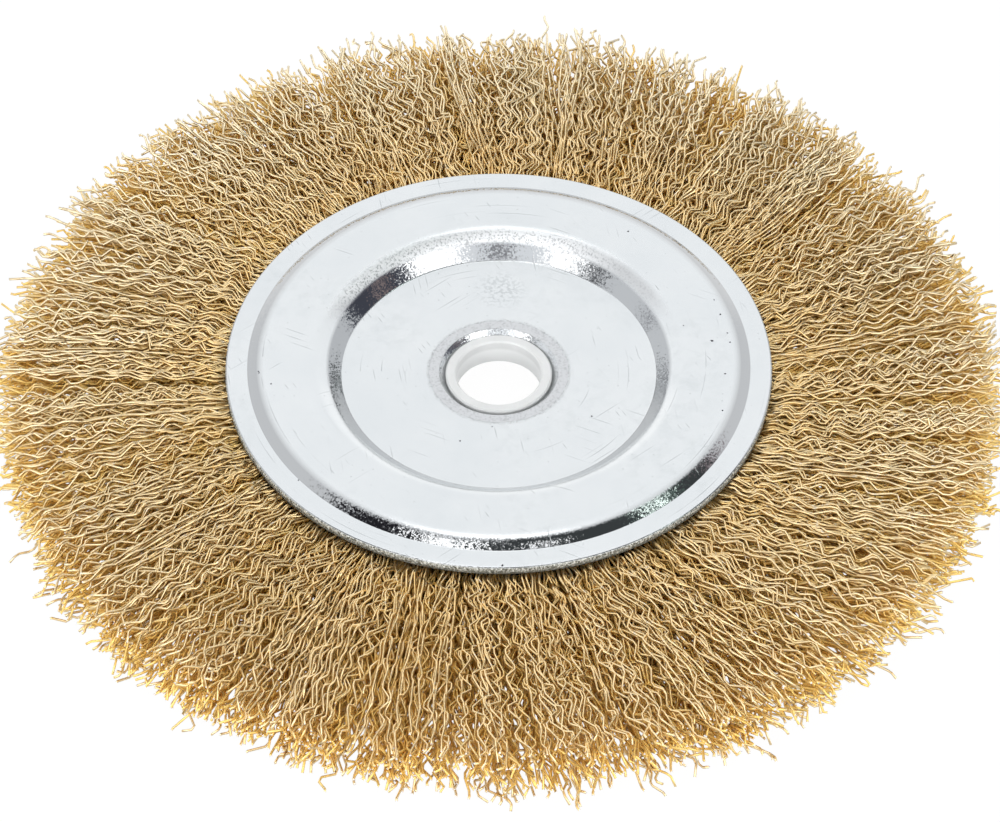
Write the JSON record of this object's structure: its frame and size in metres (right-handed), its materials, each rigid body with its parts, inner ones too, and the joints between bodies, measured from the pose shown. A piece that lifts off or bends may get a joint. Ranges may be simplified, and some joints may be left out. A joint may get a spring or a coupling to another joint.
{
  "type": "wire wheel brush",
  "caption": "Crimped wire wheel brush: pressed zinc-plated side plates clamp a thick ring of brass-coated crimped wires round a flanged hub with a plastic reducer bush.",
  "frame": {"origin": "centre of the bore, half way through the thickness of the wheel", "axes": "+Z along the spindle axis, out of the front plate"},
  "size_m": [0.149, 0.1477, 0.0114],
  "materials": {
    "zinc_plate": "satin, lightly scratched",
    "dull_steel": "dull",
    "milky_plastic": "satin",
    "brass_wire": "bright drawn wire"
  },
  "bodies": {
    "root": {"front_plate": "zinc_plate", "back_plate": "zinc_plate", "hub_eyelet": "dull_steel", "reducer_bush": "milky_plastic", "retaining_ring": "dull_steel", "wire_fill": "brass_wire"}
  },
  "joints": []
}
